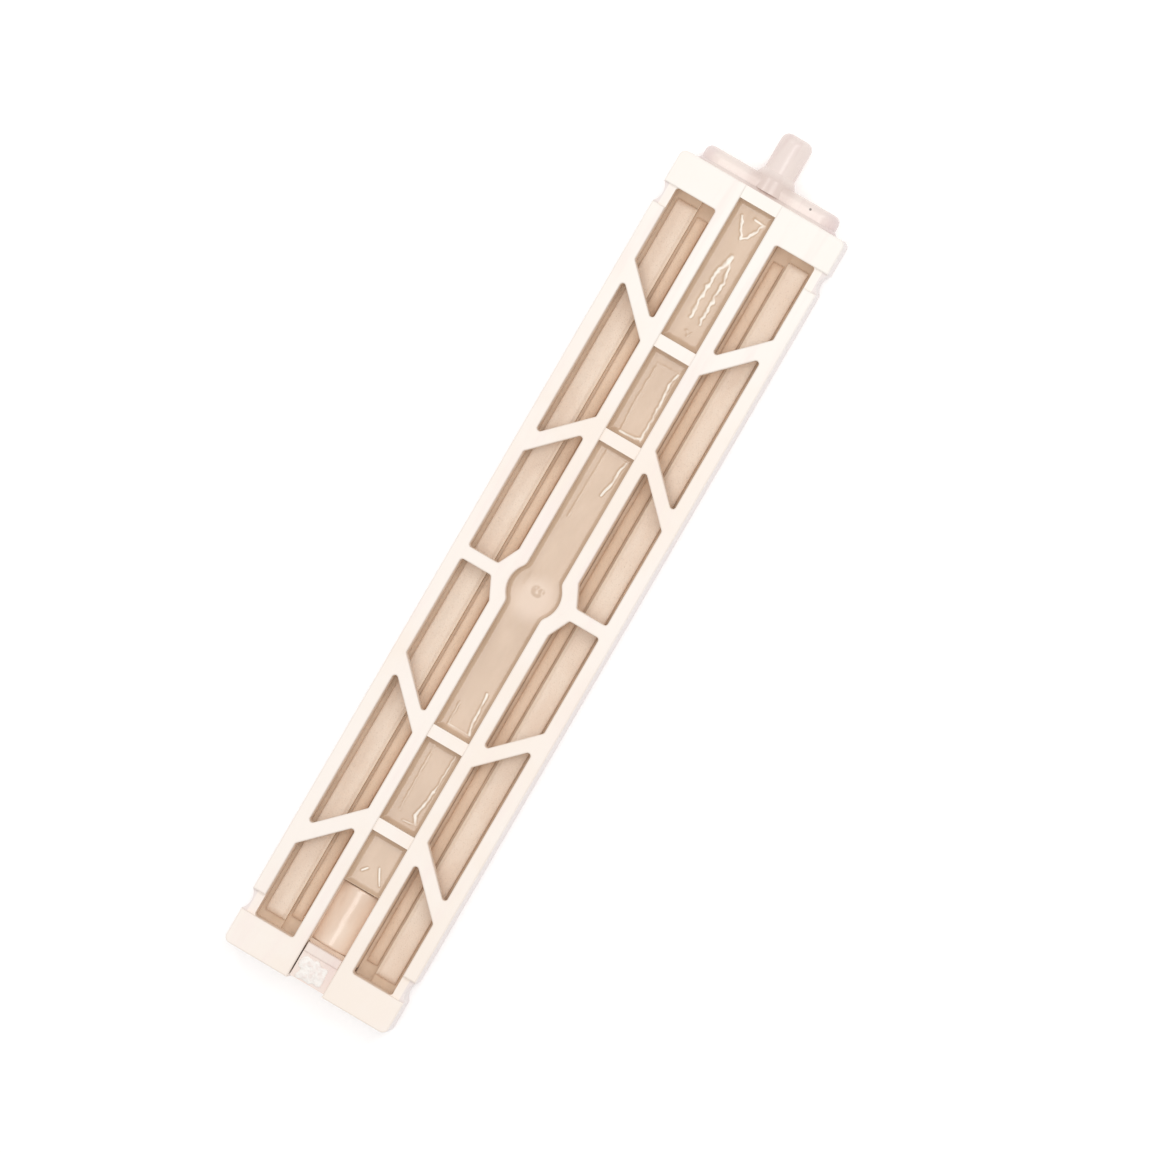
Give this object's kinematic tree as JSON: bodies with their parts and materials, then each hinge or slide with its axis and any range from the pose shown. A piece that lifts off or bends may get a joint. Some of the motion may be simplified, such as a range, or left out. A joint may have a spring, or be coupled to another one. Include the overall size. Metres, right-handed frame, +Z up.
{
  "type": "air stone",
  "caption": "Flat bar air stone: porous strips under a slotted white lattice face, with a sealed centre duct and an airline spigot at one end.",
  "frame": {"origin": "middle of the flat underside of the bar's body", "axes": "+Y along the bar towards the airline spigot, +Z up out of the lattice face, X across"},
  "size_m": [0.0276, 0.144, 0.009],
  "materials": {
    "white_lattice": "satin moulded white",
    "white_shell": "satin moulded white",
    "white_inlet": "gloss moulded white",
    "bond_bead": "cured white adhesive",
    "beige_duct": "matt beige",
    "potting": "glossy cured beige resin",
    "plug_beige": "glossy beige",
    "white_block": "satin moulded white",
    "glue": "rough cured white",
    "stone_light": "fine porous cream",
    "stone_dark": "fine porous tan",
    "bed": "matt tan bed"
  },
  "bodies": {
    "root": {"lattice_cover": "white_lattice", "base_tray": "white_shell", "inlet_manifold": "white_inlet", "flange_bond": "bond_bead", "air_duct": "beige_duct", "channel_seal_1": "potting", "channel_seal_2": "potting", "channel_seal_3": "potting", "channel_seal_4": "potting", "channel_seal_5": "potting", "duct_plug": "plug_beige", "end_block": "white_block", "end_glue": "glue", "outer_stone_left": "stone_light", "outer_stone_right": "stone_light", "inner_stone_left": "stone_dark", "inner_stone_right": "stone_dark", "stone_bed_left": "bed", "stone_bed_right": "bed"}
  },
  "joints": []
}
